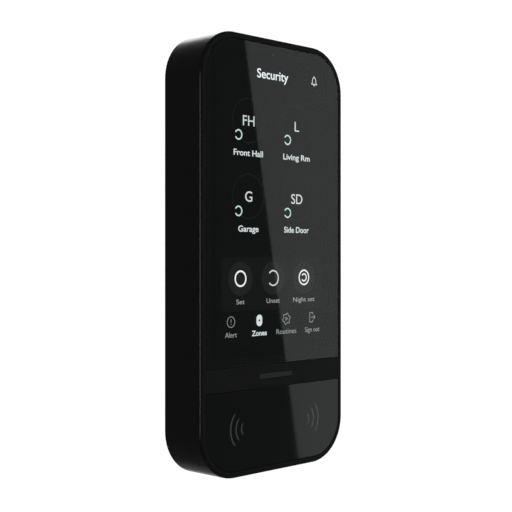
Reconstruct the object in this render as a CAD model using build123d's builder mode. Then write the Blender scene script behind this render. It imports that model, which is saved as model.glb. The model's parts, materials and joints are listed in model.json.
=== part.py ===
"""Wall-mounted alarm keypad panel: a slim case with a touch display, hung on a wall bracket.

Frame: the origin is the centre of the bracket's wall face, +Z is up, +X is to the right of
someone facing the panel, and the glass faces -Y.  A "depth" is a distance out from the wall.
Millimetres throughout.
"""
import os

from build123d import *

os.makedirs("parts", exist_ok=True)

# ---------------------------------------------------------------- driving dimensions
# case
case_width = 88.6
case_height = 186.0
case_depth = 22.4
corner_radius = 19.5
front_edge_radius = 1.3
wall = 2.0
skirt_gap = 0.4            # the case's rear rim stands this far off the wall

# front: glass above, matt cross strip, reader panel below
glass_inset = 2.7          # case edge to glass edge
glass_gap = 0.12           # joint line round each panel
glass_thickness = 1.8
panel_thickness = 1.4
tape_thickness = 0.2
reader_zone_height = 33.7
strip_height = 9.65
ledge_thickness = 1.6
reader_ledge_thickness = 1.0
panel_edge = 0.2           # softened edge of the glass and the reader panel
tape_inset = 0.5           # panel edge to tape edge
status_width = 21.2        # slot of the status light
status_height = 2.6
status_thickness = 1.5
status_edge = 0.15
reader_pocket_side = 4.5   # panel edge in to the reader's pocket and window
reader_pocket_rise = 5.6   # panel bottom up to the pocket
reader_window_rise = 6.3   # panel bottom up to the window
reader_window_drop = 1.8   # panel top down to the window
reader_corner = 2.0
sensor_drop = 3.2          # glass top down to the light sensor
sensor_bore_radius = 0.9
sensor_pipe_radius = 0.8

# display module
display_side_border = 5.4     # glass edge to display frame
display_end_border = 4.3
display_corner = 4.0
module_gap = 0.3              # frame to case opening
lcd_thickness = 1.2
backlight_thickness = 1.9
frame_sheet = 0.4
lcd_inset = 0.7               # frame edge to LCD edge
lcd_gap = 0.6                 # bonding layer between the glass and the LCD
frame_window_width = 44.0     # three openings in the frame's back
frame_window_height = 22.0
frame_window_pitch = 36.0
flex_thickness = 0.2
flex_bend = 0.6
display_flex_width = 22.0
touch_flex_width = 10.0
touch_flex_x = 18.0

# main board
board_thickness = 1.2
board_top_depth = 14.6        # depth of the board's front face
board_side_gap = 1.5          # case inner wall to board
board_end_drop = 11.0         # case inner wall down to board
board_strip_gap = 11.0        # strip up to board
board_screw_inset = 1.9       # board edge to screw centre
board_corner = 4.0
board_boss_radius = 2.2
board_pilot_depth = 3.6
cover_boss_radius = 2.4
cover_pilot_depth = 6.5
boss_root = 0.2               # bosses run this far into the front wall

# rear cover and bracket
bracket_thickness = 2.2
bracket_gap = 0.5             # bracket edge to case wall
bracket_step = 1.0            # thickness behind the battery cover
cover_depth = 5.4             # wall to the cover's rear face
cover_thickness = 1.8
cover_gap = 0.15
rim_width = 0.8
rim_thickness = 1.5
seal_thickness = 0.5
rib_width = 1.2
rib_height = 1.8
upper_rib_length = 52.0
lower_rib_length = 60.0
screw_seat_depth = 0.6
label_width = 40.0
label_height = 22.0
label_thickness = 0.15
lift_travel = 7.2             # the case lifts this far off the hooks

# hooks
hook_width = 8.0
hook_stem = 3.0
hook_lip = 4.5                # lip above the stem
hook_lip_thickness = 1.5
hook_side = 34.0              # centre line to hook
hook_top_drop = 31.0          # case top down to the upper hooks
hook_strip_rise = 35.0        # strip up to the lower hooks
hook_slot_corner = 0.5
free_gap = 0.3                # between pieces that move past each other
fit_gap = 0.1                 # radial, pin in a hole

# wall screws and cable
slot_length = 8.0
slot_width = 4.2
slot_spacing_x = 48.0
slot_spacing_z = 100.0
slot_top_drop = 17.0          # case top down to the upper slots
tamper_tab_width = 18.0
tamper_tab_height = 26.0
tamper_tab_cut = 1.0
tamper_bridge_width = 1.2     # bridges that hold the tab until it breaks away
tamper_bridge_side = 8.0
cable_window_width = 22.0
cable_window_height = 18.0    # round the plug at rest; the lift is added above it
cable_window_corner = 2.0

# batteries
cell_diameter = 17.0
cell_length = 33.5
cell_nub = 1.0
cell_nub_radius = 3.2
cell_edge = 0.6
cell_bottom_rise = 14.6       # case bottom up to the lower cells' axis
cell_gap = 0.5
cell_play = 0.3
cell_rear_depth = 2.8
tray_wall = 1.0
tray_depth = 13.0
tray_end_space = 3.6          # cell end to tray wall's outside
tray_land = 5.2               # land above the cells for the cover screws
tray_land_depth = 9.0
tray_floor = 1.45             # tray edge to the lower cells
tray_edge_gap = 1.1           # case inner wall to the tray's rounded corners
tray_screw_x = 26.0
tray_pilot_depth = 5.5
leaf_sheet = 0.35             # battery contact strip
leaf_span = 5.3
leaf_depth = 9.0
battery_cover_thickness = 1.0
battery_cover_depth = 1.5

# small parts
screw_head_radius = 1.9
screw_head_height = 1.4
screw_shank_radius = 1.0
screw_clearance = 0.15        # radial, shank in a hole it passes through
cross_length = 1.9            # cross recess
cross_width = 0.5
cross_depth = 0.8
holding_shank_radius = 1.45
holding_head_radius = 2.7
holding_head_height = 1.8
holding_reach = 2.6           # tip beyond the flange
holding_depth = 5.5
holding_hex_radius = 1.25
holding_hex_depth = 1.1
flange_width = 14.0
flange_thickness = 2.0
flange_reach = 8.6
power_cap_radius = 3.0
power_travel = 0.8
power_collar = 1.0            # collar beyond the cap
power_collar_thickness = 0.7
power_stem_radius = 1.3
power_proud = 0.5
tamper_radius = 2.0
tamper_travel = 1.2
tamper_collar = 1.2
tamper_collar_thickness = 0.8
tamper_stem_radius = 1.0
spring_radius = 2.1
spring_turns = 3.5
wire = 0.3
switch_size = 6.0
switch_height = 2.0
nub_radius = 1.6
nub_height = 0.3
plug_width = 16.0
plug_height = 8.0
plug_length = 5.1
plug_travel = 3.2
shroud_wall = 1.0
shroud_floor = 2.0
pole_pitch = 3.5
slit_length = 5.0             # buzzer's sound slits
slit_width = 1.0
slit_pitch = 2.4
slit_count = 7
slit_x = 14.0
slit_depth = 13.5

# ---------------------------------------------------------------- derived places
case_top = case_height / 2
case_bottom = -case_height / 2
inner_width = case_width - 2 * wall
inner_height = case_height - 2 * wall
inner_radius = corner_radius - wall
glass_width = case_width - 2 * glass_inset
glass_height = case_height - 2 * glass_inset
glass_radius = corner_radius - glass_inset
glass_top = case_top - glass_inset
panel_bottom = case_bottom + glass_inset
panel_top = panel_bottom + reader_zone_height
strip_top = panel_top + strip_height
strip_middle = (strip_top + panel_top) / 2

glass_rear = case_depth - glass_thickness
glass_seat = glass_rear - tape_thickness
floor_depth = glass_seat - ledge_thickness
panel_rear = case_depth - panel_thickness
panel_seat = panel_rear - tape_thickness
reader_floor = panel_seat - reader_ledge_thickness

frame_width = glass_width - 2 * display_side_border
frame_height = glass_top - strip_top - 2 * display_end_border
display_middle = (glass_top + strip_top) / 2
display_top = display_middle + frame_height / 2
display_bottom = display_middle - frame_height / 2
lcd_front = glass_rear - lcd_gap
backlight_front = lcd_front - lcd_thickness
frame_rear = backlight_front - backlight_thickness - frame_sheet

board_rear = board_top_depth - board_thickness
board_width = inner_width - 2 * board_side_gap
board_top = case_top - wall - board_end_drop
board_bottom = strip_top + board_strip_gap
board_height = board_top - board_bottom
board_middle = (board_top + board_bottom) / 2
board_screw_x = board_width / 2 - board_screw_inset
board_screw_zs = (board_top - 14.0, board_middle, board_bottom + 8.0)

cover_front = cover_depth + cover_thickness
seal_front = cover_front + seal_thickness
rim_front = seal_front + rim_thickness

upper_hook_z = case_top - hook_top_drop
lower_hook_z = strip_top + hook_strip_rise
hook_spots = [(x, z) for x in (-hook_side, hook_side) for z in (lower_hook_z, upper_hook_z)]
slot_middle = case_top - slot_top_drop - slot_spacing_z / 2

cell_radius = cell_diameter / 2
cell_pitch = cell_diameter + cell_gap
cell_axis_depth = cell_rear_depth + cell_radius
lower_cell_z = case_bottom + cell_bottom_rise
upper_cell_z = lower_cell_z + cell_pitch
cell_start = cell_length + cell_nub
tray_half = cell_start + cell_play + tray_end_space
tray_bottom = lower_cell_z - cell_radius - tray_floor
cells_top = upper_cell_z + cell_radius + cell_gap
tray_top = cells_top + tray_land
tray_rear = battery_cover_depth + battery_cover_thickness + fit_gap
tray_screw_spots = [(x, tray_top - tray_land / 2) for x in (-tray_screw_x, tray_screw_x)]
top_boss_z = case_top - wall - 2.2
side_boss_x = inner_width / 2 - 3.0
side_boss_z = board_bottom - 6.0
housing_screw_spots = [(-16.0, top_boss_z), (16.0, top_boss_z),
                       (-side_boss_x, side_boss_z), (side_boss_x, side_boss_z)]
board_screw_spots = [(x, z) for x in (-board_screw_x, board_screw_x) for z in board_screw_zs]

plug_x = -23.0
plug_z = display_middle + 19.3
power_x = 24.0
power_z = display_middle + 8.3
tamper_z = display_middle + 5.3
tab_middle = tamper_z + 4.0
tab_hole_z = tamper_z + 9.0
sensor_z = glass_top - sensor_drop
flange_bottom = case_bottom + 2.4
flange_top = flange_bottom + flange_thickness


def layer(depth):
    """A plane parallel to the wall, `depth` out from it, facing the user: local x is X, y is Z."""
    return Plane.XZ.offset(depth)


def save(built, name):
    """Label a finished piece and write it under that name."""
    built.part.label = name
    export_step(built.part, f"parts/{name}.step")


# ================================================================ case
# Front housing: side walls, bezel, cross strip, ledges for the glass and bosses for the screws.
with BuildPart() as front_housing:
    with BuildSketch(layer(skirt_gap)):
        RectangleRounded(case_width, case_height, corner_radius)
    extrude(amount=case_depth - skirt_gap)
    fillet(front_housing.faces().sort_by(Axis.Y)[0].edges(), front_edge_radius)
    # cavity behind the front wall, stepped for the rear cover's rim
    with BuildSketch(layer(skirt_gap)):
        RectangleRounded(inner_width, inner_height, inner_radius)
    extrude(amount=seal_front - skirt_gap, mode=Mode.SUBTRACT)
    with BuildSketch(layer(seal_front)):
        RectangleRounded(inner_width - 2 * rim_width, inner_height - 2 * rim_width, inner_radius - rim_width)
    extrude(amount=rim_thickness, mode=Mode.SUBTRACT)
    with BuildSketch(layer(rim_front)):
        RectangleRounded(inner_width, inner_height, inner_radius)
    extrude(amount=floor_depth - rim_front, mode=Mode.SUBTRACT)
    # seat and window of the display glass
    with BuildSketch(layer(glass_seat)):
        RectangleRounded(glass_width, glass_height, glass_radius)
        with Locations((0, display_middle)):
            Rectangle(glass_width, glass_top - strip_top, mode=Mode.INTERSECT)
    extrude(amount=case_depth - glass_seat, mode=Mode.SUBTRACT)
    with BuildSketch(layer(floor_depth)):
        with Locations((0, display_middle)):
            RectangleRounded(frame_width + 2 * module_gap, frame_height + 2 * module_gap, display_corner)
    extrude(amount=ledge_thickness, mode=Mode.SUBTRACT)
    # seat, rear pocket and window of the reader panel
    panel_middle = (panel_top + panel_bottom) / 2
    with BuildSketch(layer(panel_seat)):
        RectangleRounded(glass_width, glass_height, glass_radius)
        with Locations((0, panel_middle)):
            Rectangle(glass_width, reader_zone_height, mode=Mode.INTERSECT)
    extrude(amount=case_depth - panel_seat, mode=Mode.SUBTRACT)
    pocket_width = glass_width - 2 * reader_pocket_side
    pocket_bottom = panel_bottom + reader_pocket_rise
    with BuildSketch(layer(floor_depth)):
        with Locations((0, (panel_top + pocket_bottom) / 2)):
            RectangleRounded(pocket_width, panel_top - pocket_bottom, reader_corner)
    extrude(amount=reader_floor - floor_depth, mode=Mode.SUBTRACT)
    window_bottom = panel_bottom + reader_window_rise
    window_top = panel_top - reader_window_drop
    with BuildSketch(layer(reader_floor)):
        with Locations((0, (window_top + window_bottom) / 2)):
            RectangleRounded(pocket_width, window_top - window_bottom, reader_corner)
    extrude(amount=reader_ledge_thickness, mode=Mode.SUBTRACT)
    # slot for the status light
    with BuildSketch(layer(floor_depth)):
        with Locations((0, strip_middle)):
            SlotOverall(status_width, status_height)
    extrude(amount=case_depth - floor_depth, mode=Mode.SUBTRACT)
    # light sensor eye in the upper ledge
    with BuildSketch(layer(floor_depth)):
        with Locations((0, sensor_z)):
            Circle(sensor_bore_radius)
    extrude(amount=ledge_thickness, mode=Mode.SUBTRACT)
    # bosses for the board, stopped by the board's front face, and for the rear cover
    with BuildSketch(layer(board_top_depth)):
        with Locations(board_screw_spots):
            Circle(board_boss_radius)
    extrude(amount=floor_depth - board_top_depth + boss_root)
    with BuildSketch(layer(cover_front)):
        with Locations(housing_screw_spots):
            Circle(cover_boss_radius)
    extrude(amount=floor_depth - cover_front + boss_root)
    # pilot holes
    with BuildSketch(layer(board_top_depth)):
        with Locations(board_screw_spots):
            Circle(screw_shank_radius)
    extrude(amount=board_pilot_depth, mode=Mode.SUBTRACT)
    with BuildSketch(layer(cover_front)):
        with Locations(housing_screw_spots):
            Circle(screw_shank_radius)
    extrude(amount=cover_pilot_depth, mode=Mode.SUBTRACT)
    # notch in the lower wall, where the bracket's flange carries the holding screw
    notch_depth = flange_reach + 2 * free_gap - skirt_gap
    notch_height = flange_top + 2 * free_gap - case_bottom
    with BuildSketch(layer(skirt_gap)):
        with Locations((0, case_bottom + notch_height / 2)):
            Rectangle(flange_width + 4 * free_gap, notch_height)
    extrude(amount=notch_depth, mode=Mode.SUBTRACT)
    # sound slits of the buzzer in the lower wall
    with BuildSketch(Plane.XY.offset(case_bottom)):
        with Locations((slit_x, -slit_depth)):
            with GridLocations(slit_pitch, 0, slit_count, 1):
                SlotOverall(slit_length, slit_width, rotation=90)
    extrude(amount=wall, mode=Mode.SUBTRACT)
save(front_housing, "front_housing")

# Rear cover: closes the back of the case above and round the battery tray.
with BuildPart() as rear_cover:
    with BuildSketch(layer(cover_depth)):
        RectangleRounded(inner_width - 2 * cover_gap, inner_height - 2 * cover_gap, inner_radius - cover_gap)
        with Locations((0, (tray_top + free_gap + case_bottom) / 2)):
            Rectangle(2 * tray_half + 2 * free_gap, tray_top + free_gap - case_bottom, mode=Mode.SUBTRACT)
        with Locations([(x, z - lift_travel / 2) for x, z in hook_spots]):
            RectangleRounded(hook_width + 2 * free_gap, hook_stem + 2 * free_gap + lift_travel,
                             hook_slot_corner, mode=Mode.SUBTRACT)
        with Locations((plug_x, plug_z)):
            Rectangle(plug_width + 2 * shroud_wall + 4 * fit_gap,
                      plug_height + 2 * shroud_wall + 4 * fit_gap, mode=Mode.SUBTRACT)
        with Locations((power_x, power_z)):
            Circle(power_cap_radius + fit_gap, mode=Mode.SUBTRACT)
        with Locations((0, tamper_z)):
            Circle(tamper_radius + fit_gap, mode=Mode.SUBTRACT)
        with Locations(housing_screw_spots):
            Circle(screw_shank_radius + screw_clearance, mode=Mode.SUBTRACT)
    extrude(amount=cover_thickness)
    # stiffening ribs on the inner face, between the hooks
    with BuildSketch(layer(cover_front)):
        with Locations((0, upper_hook_z + 9.5), (0, lower_hook_z - 14.0)):
            Rectangle(upper_rib_length, rib_width)
        with Locations((0, lower_hook_z + 12.0)):
            Rectangle(lower_rib_length, rib_width)
    extrude(amount=rib_height)
    # shallow seats for the screw heads
    with BuildSketch(layer(cover_depth)):
        with Locations(housing_screw_spots):
            Circle(screw_head_radius + 0.2)
    extrude(amount=screw_seat_depth, mode=Mode.SUBTRACT)
save(rear_cover, "rear_cover")

# Soft seal between the rear cover and the case's rim, left open round the battery tray.
with BuildPart() as cover_seal:
    with BuildSketch(layer(cover_front)):
        RectangleRounded(inner_width - fit_gap, inner_height - fit_gap, inner_radius - fit_gap / 2)
        RectangleRounded(inner_width - 2 * rim_width, inner_height - 2 * rim_width, inner_radius - rim_width,
                         mode=Mode.SUBTRACT)
        with Locations((0, case_bottom)):
            Rectangle(flange_width + 8 * free_gap, 2 * (notch_height + free_gap), mode=Mode.SUBTRACT)
        with Locations(housing_screw_spots):
            Circle(cover_boss_radius + fit_gap, mode=Mode.SUBTRACT)
    extrude(amount=seal_thickness)
save(cover_seal, "cover_seal")

# Self-tapping screws: a pan head with a cross recess, and a plain shank.
def screws(spots, head_rear, shank_length):
    """Pan-head screws driven from behind at the given spots, heads starting at head_rear."""
    with BuildPart() as group:
        with BuildSketch(layer(head_rear)):
            with Locations(spots):
                Circle(screw_head_radius)
        extrude(amount=screw_head_height)
        fillet(group.faces().sort_by(Axis.Y)[-len(spots):].edges(), 0.5)
        with BuildSketch(layer(head_rear + screw_head_height)):
            with Locations(spots):
                Circle(screw_shank_radius)
        extrude(amount=shank_length)
        with BuildSketch(layer(head_rear)):
            with Locations(spots):
                Rectangle(cross_length, cross_width)
                Rectangle(cross_width, cross_length)
        extrude(amount=cross_depth, mode=Mode.SUBTRACT)
    return group


housing_shank = cover_thickness - screw_seat_depth + cover_pilot_depth - 0.7
board_shank = board_thickness + board_pilot_depth - 0.4
save(screws(housing_screw_spots, cover_depth + screw_seat_depth - screw_head_height, housing_shank),
     "housing_screws")
save(screws(board_screw_spots, board_rear - screw_head_height, board_shank), "board_screws")

# Plain rating label on the rear cover.
with BuildPart() as rear_label:
    with BuildSketch(layer(cover_depth - label_thickness)):
        with Locations((2.0, display_middle - 32.0)):
            RectangleRounded(label_width, label_height, 1.5)
    extrude(amount=label_thickness)
save(rear_label, "rear_label")

# ================================================================ front panels
# Display glass: one flat cover lens with the case's corner arcs at the top.
with BuildPart() as display_glass:
    with BuildSketch(layer(glass_rear)):
        RectangleRounded(glass_width - 2 * glass_gap, glass_height - 2 * glass_gap, glass_radius - glass_gap)
        with Locations((0, display_middle)):
            Rectangle(glass_width, glass_top - strip_top - 2 * glass_gap, mode=Mode.INTERSECT)
    extrude(amount=glass_thickness)
    fillet(display_glass.faces().sort_by(Axis.Y)[0].edges(), panel_edge)
save(display_glass, "display_glass")

# Adhesive tape that bonds the glass to its ledge.
with BuildPart() as glass_tape:
    with BuildSketch(layer(glass_seat)):
        RectangleRounded(glass_width - 2 * tape_inset, glass_height - 2 * tape_inset,
                         glass_radius - tape_inset)
        with Locations((0, display_middle)):
            Rectangle(glass_width, glass_top - strip_top - 2 * tape_inset, mode=Mode.INTERSECT)
        with Locations((0, display_middle)):
            RectangleRounded(frame_width + 2 * (module_gap + tape_inset),
                             frame_height + 2 * (module_gap + tape_inset),
                             display_corner + tape_inset, mode=Mode.SUBTRACT)
        with Locations((0, sensor_z)):
            Circle(sensor_bore_radius + free_gap, mode=Mode.SUBTRACT)
    extrude(amount=tape_thickness)
save(glass_tape, "glass_tape")

# Reader panel: gloss panel over the contactless reader.
with BuildPart() as reader_panel:
    with BuildSketch(layer(panel_rear)):
        RectangleRounded(glass_width - 2 * glass_gap, glass_height - 2 * glass_gap, glass_radius - glass_gap)
        with Locations((0, panel_middle)):
            Rectangle(glass_width, reader_zone_height - 2 * glass_gap, mode=Mode.INTERSECT)
    extrude(amount=panel_thickness)
    fillet(reader_panel.faces().sort_by(Axis.Y)[0].edges(), panel_edge)
save(reader_panel, "reader_panel")

with BuildPart() as panel_tape:
    with BuildSketch(layer(panel_seat)):
        RectangleRounded(glass_width - 2 * tape_inset, glass_height - 2 * tape_inset,
                         glass_radius - tape_inset)
        with Locations((0, panel_middle)):
            Rectangle(glass_width, reader_zone_height - 2 * free_gap, mode=Mode.INTERSECT)
        with Locations((0, (window_top + window_bottom) / 2)):
            RectangleRounded(pocket_width + 2 * fit_gap, window_top - window_bottom + 2 * fit_gap,
                             reader_corner + 1.0, mode=Mode.SUBTRACT)
    extrude(amount=tape_thickness)
save(panel_tape, "panel_tape")

# ================================================================ status light
with BuildPart() as status_lens:
    with BuildSketch(layer(case_depth - status_thickness)):
        with Locations((0, strip_middle)):
            SlotOverall(status_width - 2 * glass_gap, status_height - 2 * glass_gap)
    extrude(amount=status_thickness)
    fillet(status_lens.faces().sort_by(Axis.Y)[0].edges(), status_edge)
save(status_lens, "status_lens")

guide_rear = floor_depth - 0.35
with BuildPart() as light_guide:
    with BuildSketch(layer(guide_rear)):
        with Locations((0, strip_middle)):
            SlotOverall(status_width - 3 * glass_gap, status_height - 3 * glass_gap)
    extrude(amount=case_depth - status_thickness - 0.05 - guide_rear)
    chamfer(light_guide.faces().sort_by(Axis.Y)[-1].edges(), 0.3)
save(light_guide, "light_guide")

led_spots = [(x, strip_middle) for x in (-7.5, -2.5, 2.5, 7.5)]
led_height = 0.7
status_board_front = guide_rear - led_height - 0.05
status_board_thickness = 0.8
with BuildPart() as status_board:
    with BuildSketch(layer(status_board_front - status_board_thickness)):
        with Locations((0, strip_middle + 0.75)):
            RectangleRounded(30.0, 6.0, 0.8)
        with Locations((-13.0, strip_middle + 0.75), (13.0, strip_middle + 0.75)):
            Circle(screw_shank_radius, mode=Mode.SUBTRACT)
    extrude(amount=status_board_thickness)
save(status_board, "status_board")

with BuildPart() as status_leds:
    with BuildSketch(layer(status_board_front)):
        with Locations(led_spots):
            Rectangle(2.0, 1.6)
    extrude(amount=led_height)
    with BuildSketch(layer(status_board_front + led_height)):
        with Locations(led_spots):
            Circle(0.55)
    extrude(amount=-0.2, mode=Mode.SUBTRACT)
save(status_leds, "status_leds")

# ================================================================ display module
with BuildPart() as lcd_panel:
    with BuildSketch(layer(backlight_front)):
        with Locations((0, display_middle)):
            RectangleRounded(frame_width - 2 * lcd_inset, frame_height - 2 * lcd_inset,
                             display_corner - lcd_inset)
    extrude(amount=lcd_thickness)
save(lcd_panel, "lcd_panel")

with BuildPart() as backlight:
    with BuildSketch(layer(backlight_front - backlight_thickness)):
        with Locations((0, display_middle)):
            RectangleRounded(frame_width - 2 * frame_sheet - 0.2, frame_height - 2 * frame_sheet - 0.2,
                             display_corner - frame_sheet)
    extrude(amount=backlight_thickness)
save(backlight, "backlight")

# Display frame: a pressed steel tray round the backlight.
with BuildPart() as display_frame:
    with BuildSketch(layer(frame_rear)):
        with Locations((0, display_middle)):
            RectangleRounded(frame_width, frame_height, display_corner)
    extrude(amount=backlight_front - frame_rear)
    with BuildSketch(layer(frame_rear + frame_sheet)):
        with Locations((0, display_middle)):
            RectangleRounded(frame_width - 2 * frame_sheet, frame_height - 2 * frame_sheet,
                             display_corner - frame_sheet)
    extrude(amount=backlight_thickness, mode=Mode.SUBTRACT)
    # openings that save weight and let the flex out
    with BuildSketch(layer(frame_rear)):
        with Locations((0, display_middle)):
            with GridLocations(0, frame_window_pitch, 1, 3):
                RectangleRounded(frame_window_width, frame_window_height, display_corner)
    extrude(amount=frame_sheet, mode=Mode.SUBTRACT)
save(display_frame, "display_frame")


def ribbon(x_middle, width, points, thickness):
    """A flat flexible strip of the given width that runs through (y, z) points with soft bends."""
    with BuildPart() as strip:
        with BuildSketch(Plane.YZ.offset(x_middle - width / 2)):
            with BuildLine():
                FilletPolyline(*points, radius=flex_bend)
            trace(line_width=thickness)
        extrude(amount=width)
    return strip


connector_height = 1.0
flex_depth = board_top_depth + connector_height + 0.15
flex_start = frame_rear - 0.15
display_flex_z = display_bottom + 20.0
save(ribbon(0.0, display_flex_width,
            [(-flex_start, display_bottom + 3.0), (-flex_start, display_flex_z - 6.0),
             (-flex_depth, display_flex_z - 3.5), (-flex_depth, display_flex_z + 1.5)], flex_thickness),
     "display_flex")
touch_flex_z = display_top - 22.0
save(ribbon(touch_flex_x, touch_flex_width,
            [(-flex_start, display_top - 3.0), (-flex_start, touch_flex_z + 6.0),
             (-flex_depth, touch_flex_z + 3.5), (-flex_depth, touch_flex_z - 1.5)], flex_thickness),
     "touch_flex")

# ================================================================ main board
with BuildPart() as main_board:
    with BuildSketch(layer(board_rear)):
        with Locations((0, board_middle)):
            RectangleRounded(board_width, board_height, board_corner)
        with Locations(board_screw_spots):
            Circle(screw_shank_radius + screw_clearance, mode=Mode.SUBTRACT)
    extrude(amount=board_thickness)
save(main_board, "main_board")


def blocks(face_depth, towards_user, height, boxes, radius=0.0):
    """Rectangular parts standing on a board face; boxes holds (x, z, width, height) of each."""
    with BuildPart() as group:
        for x, z, width, tall in boxes:
            with BuildSketch(layer(face_depth)):
                with Locations((x, z)):
                    if radius:
                        RectangleRounded(width, tall, radius)
                    else:
                        Rectangle(width, tall)
            extrude(amount=height if towards_user else -height)
    return group


save(blocks(board_top_depth, True, connector_height,
            [(0.0, display_flex_z + 0.5, display_flex_width + 3.0, 4.0),
             (touch_flex_x, touch_flex_z - 0.5, touch_flex_width + 3.0, 4.0)]), "flex_connectors")
processor_height, chip_height, coil_height = 1.3, 1.1, 2.6
processor_boxes = [(2.0, display_middle - 12.0, 14.0, 14.0)]
save(blocks(board_rear, False, processor_height, processor_boxes, 0.6), "processor")
chip_boxes = [(18.0, display_middle - 10.0, 8.0, 10.0), (-14.0, display_middle - 16.0, 7.0, 7.0),
              (2.0, display_middle - 27.0, 9.0, 6.0), (-8.0, display_middle + 36.0, 6.0, 6.0)]
save(blocks(board_rear, False, chip_height, chip_boxes, 0.3), "board_chips")
coil_boxes = [(-24.0, display_middle - 24.0, 6.0, 6.0), (-24.0, display_middle - 33.0, 6.0, 6.0)]
save(blocks(board_rear, False, coil_height, coil_boxes, 1.2), "power_inductors")

capacitor_spots = [(-14.0, display_middle - 27.0), (-14.0, display_middle - 34.0),
                   (34.0, display_middle + 22.0)]
capacitor_radius, capacitor_height = 2.5, 3.2
with BuildPart() as board_capacitors:
    with BuildSketch(layer(board_rear)):
        with Locations(capacitor_spots):
            Circle(capacitor_radius)
    extrude(amount=-capacitor_height)
    fillet(board_capacitors.faces().sort_by(Axis.Y)[-len(capacitor_spots):].edges(), 0.4)
save(board_capacitors, "board_capacitors")

# Radio shield: a thin drawn can over the radio section.
shield_x, shield_z = 20.0, board_top - 13.0
shield_width, shield_height, shield_depth, shield_sheet = 22.0, 18.0, 2.0, 0.3
with BuildPart() as radio_shield:
    with BuildSketch(layer(board_rear)):
        with Locations((shield_x, shield_z)):
            RectangleRounded(shield_width, shield_height, 1.0)
    extrude(amount=-shield_depth)
    with BuildSketch(layer(board_rear)):
        with Locations((shield_x, shield_z)):
            RectangleRounded(shield_width - 2 * shield_sheet, shield_height - 2 * shield_sheet,
                             1.0 - shield_sheet)
    extrude(amount=shield_sheet - shield_depth, mode=Mode.SUBTRACT)
save(radio_shield, "radio_shield")


aerial_sheet = 0.4
aerial_foot_width = 2.0
aerial_rise = 2.2
aerial_arm_width = 1.6


def antenna(x, z, side):
    """A bent spring-brass strip aerial: a foot on the board, a riser and an arm."""
    with BuildPart() as strip:
        with BuildSketch(layer(board_rear)):
            with Locations((x, z)):
                Rectangle(aerial_foot_width, 3.0)
        extrude(amount=-aerial_sheet)
        with BuildSketch(layer(board_rear - aerial_sheet)):
            with Locations((x, z - 1.3)):
                Rectangle(aerial_foot_width, aerial_sheet)
        extrude(amount=-aerial_rise)
        with BuildSketch(layer(board_rear - aerial_sheet - aerial_rise)):
            with Locations((x + side * 8.0, z - 1.3)):
                Rectangle(18.0, aerial_arm_width)
            with Locations((x + side * 16.3, z - 6.0)):
                Rectangle(aerial_arm_width, 9.0)
        extrude(amount=-aerial_sheet)
    return strip


save(antenna(-20.0, board_top - 3.0, -1.0), "radio_antenna_left")
save(antenna(-8.0, board_bottom + 13.0, 1.0), "radio_antenna_right")

# Buzzer: a drum with a sound hole, low on the board, on the side of the slits in the lower wall.
buzzer_x, buzzer_z = 27.0, board_bottom + 12.0
buzzer_radius, buzzer_height, buzzer_hole_radius = 6.0, 3.4, 1.1
with BuildPart() as buzzer:
    with BuildSketch(layer(board_rear)):
        with Locations((buzzer_x, buzzer_z)):
            Circle(buzzer_radius)
    extrude(amount=-buzzer_height)
    fillet(buzzer.faces().sort_by(Axis.Y)[-1].edges(), 0.5)
    with BuildSketch(layer(board_rear - buzzer_height)):
        with Locations((buzzer_x, buzzer_z)):
            Circle(buzzer_hole_radius)
    extrude(amount=1.2, mode=Mode.SUBTRACT)
save(buzzer, "buzzer")

# Light sensor: a chip on a short light pipe in the upper ledge.
with BuildPart() as light_sensor:
    with BuildSketch(layer(floor_depth - 1.0)):
        with Locations((0, sensor_z)):
            Rectangle(2.6, 2.0)
    extrude(amount=1.0)
    with BuildSketch(layer(floor_depth)):
        with Locations((0, sensor_z)):
            Circle(sensor_pipe_radius)
    extrude(amount=ledge_thickness)
save(light_sensor, "light_sensor")

# ================================================================ contactless reader
reader_board_front = panel_rear - 0.05
reader_board_thickness = 0.4
reader_board_width = 64.0
reader_board_height = window_top - window_bottom - 1.0
reader_coil_width = 9.0       # band of the board that carries the coil
ferrite_thickness = 0.3
with BuildPart() as reader_antenna:
    with BuildSketch(layer(reader_board_front - reader_board_thickness)):
        with Locations((0, (window_top + window_bottom) / 2)):
            RectangleRounded(reader_board_width, reader_board_height, reader_corner)
            RectangleRounded(reader_board_width - 2 * reader_coil_width, reader_board_height - 13.0,
                             reader_corner / 2, mode=Mode.SUBTRACT)
    extrude(amount=reader_board_thickness)
save(reader_antenna, "reader_antenna")

with BuildPart() as ferrite_sheet:
    with BuildSketch(layer(reader_board_front - reader_board_thickness - ferrite_thickness - 0.05)):
        with Locations((0, (window_top + window_bottom) / 2)):
            RectangleRounded(reader_board_width, reader_board_height, reader_corner)
    extrude(amount=ferrite_thickness)
save(ferrite_sheet, "ferrite_sheet")

# ================================================================ batteries
cell_xs = (-cell_start - cell_play / 2, cell_play / 2)
for number, (start, z) in enumerate([(x, z) for z in (lower_cell_z, upper_cell_z) for x in cell_xs], 1):
    with BuildPart() as battery_cell:
        with BuildSketch(Plane.YZ.offset(start)):
            with Locations((-cell_axis_depth, z)):
                Circle(cell_radius)
        extrude(amount=cell_length)
        fillet(battery_cell.edges().filter_by(GeomType.CIRCLE), cell_edge)
        with BuildSketch(Plane.YZ.offset(start + cell_length)):
            with Locations((-cell_axis_depth, z)):
                Circle(cell_nub_radius)
        extrude(amount=cell_nub)
    save(battery_cell, f"battery_cell_{number}")

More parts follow.
